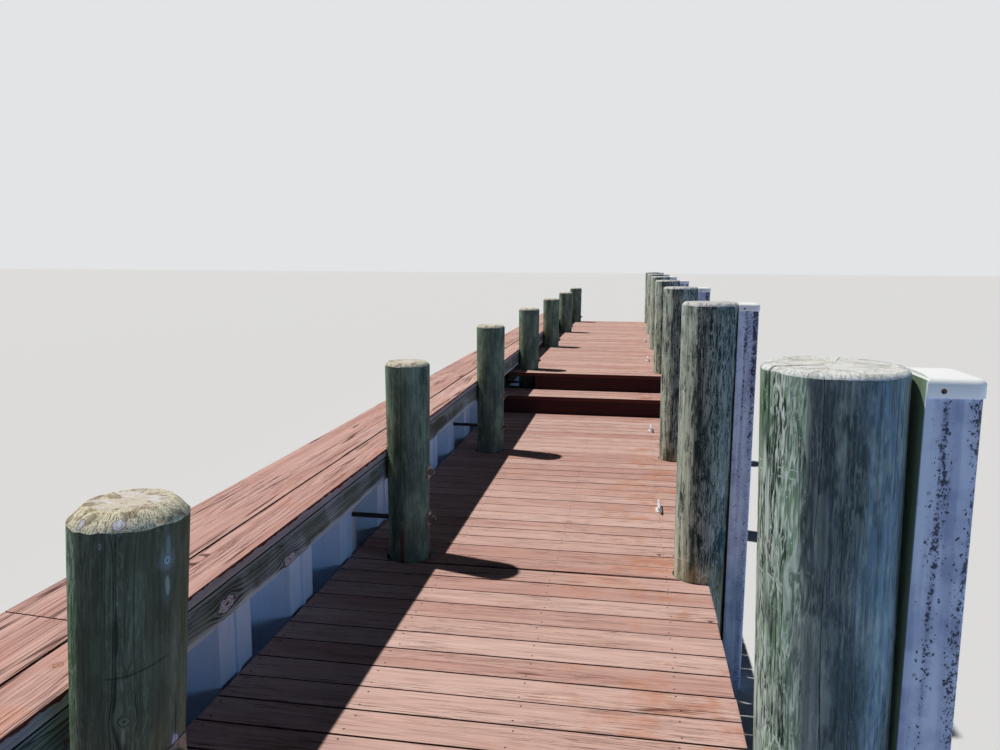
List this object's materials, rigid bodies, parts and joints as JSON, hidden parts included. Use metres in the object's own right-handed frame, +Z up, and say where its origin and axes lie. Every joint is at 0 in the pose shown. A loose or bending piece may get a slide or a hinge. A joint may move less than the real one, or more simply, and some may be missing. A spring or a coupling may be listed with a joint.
{
  "type": "wooden jetty",
  "caption": "Timber jetty of equal bays along a sheet-pile wall: board deck with a two-riser step between rows of round piles, white-capped fender posts, wale and cap boards.",
  "frame": {"origin": "middle of the footprint, at the level where the piles and sheets meet the water", "axes": "+X seaward across the deck, +Y along the jetty from the near bay up the steps, +Z up"},
  "size_m": [2.2862, 15.252, 1.9383],
  "materials": {
    "green_pile": "pressure-treated round timber, green, checked",
    "weathered_pile": "pressure-treated round timber, weathered grey-green",
    "fender_timber": "treated sawn timber, green",
    "white_vinyl": "off-white vinyl with mildew",
    "cap_plastic": "bright white plastic",
    "framing_timber": "treated sawn timber",
    "deck_stain": "red-brown semi-solid stain on weathered boards",
    "riser_stain": "dark red-brown stain",
    "sheet_vinyl": "pale grey vinyl sheet piling",
    "wale_timber": "rough sawn treated timber, grey-green",
    "cap_stain": "red-brown semi-solid stain, worn",
    "galvanised_iron": "galvanised cast iron",
    "black_iron": "black coated steel rod",
    "rusty_steel": "rusty galvanised steel"
  },
  "bodies": {
    "root": {"landward_pile_1": "green_pile", "landward_pile_2": "green_pile", "landward_pile_3": "green_pile", "landward_pile_4": "green_pile", "landward_pile_5": "green_pile", "landward_pile_6": "green_pile", "landward_pile_7": "green_pile", "seaward_pile_1": "weathered_pile", "seaward_pile_2": "weathered_pile", "seaward_pile_3": "weathered_pile", "seaward_pile_4": "weathered_pile", "seaward_pile_5": "weathered_pile", "seaward_pile_6": "weathered_pile", "seaward_pile_7": "weathered_pile", "fender_timbers": "fender_timber", "fender_covers": "white_vinyl", "fender_caps": "cap_plastic", "lower_crossbeams": "framing_timber", "upper_crossbeams": "framing_timber", "lower_stringers": "framing_timber", "upper_stringers": "framing_timber", "near_end_deck": "deck_stain", "lower_deck_1": "deck_stain", "lower_deck_2": "deck_stain", "lower_deck_3": "deck_stain", "step_bearers": "framing_timber", "lower_riser": "riser_stain", "step_tread": "deck_stain", "upper_riser": "riser_stain", "step_landing": "deck_stain", "upper_deck_4": "deck_stain", "upper_deck_5": "deck_stain", "upper_deck_6": "deck_stain", "far_end_deck": "deck_stain", "sheet_piling_1": "sheet_vinyl", "sheet_piling_2": "sheet_vinyl", "sheet_piling_3": "sheet_vinyl", "sheet_piling_4": "sheet_vinyl", "sheet_piling_5": "sheet_vinyl", "sheet_piling_6": "sheet_vinyl", "wale": "wale_timber", "outer_cap_boards": "cap_stain", "inner_cap_boards": "cap_stain", "mooring_cleats": "galvanised_iron", "tie_rods": "black_iron", "tie_rod_washers": "rusty_steel", "tie_rod_nuts": "rusty_steel", "wale_bolts": "rusty_steel", "crossbeam_bolts": "rusty_steel"}
  },
  "joints": []
}
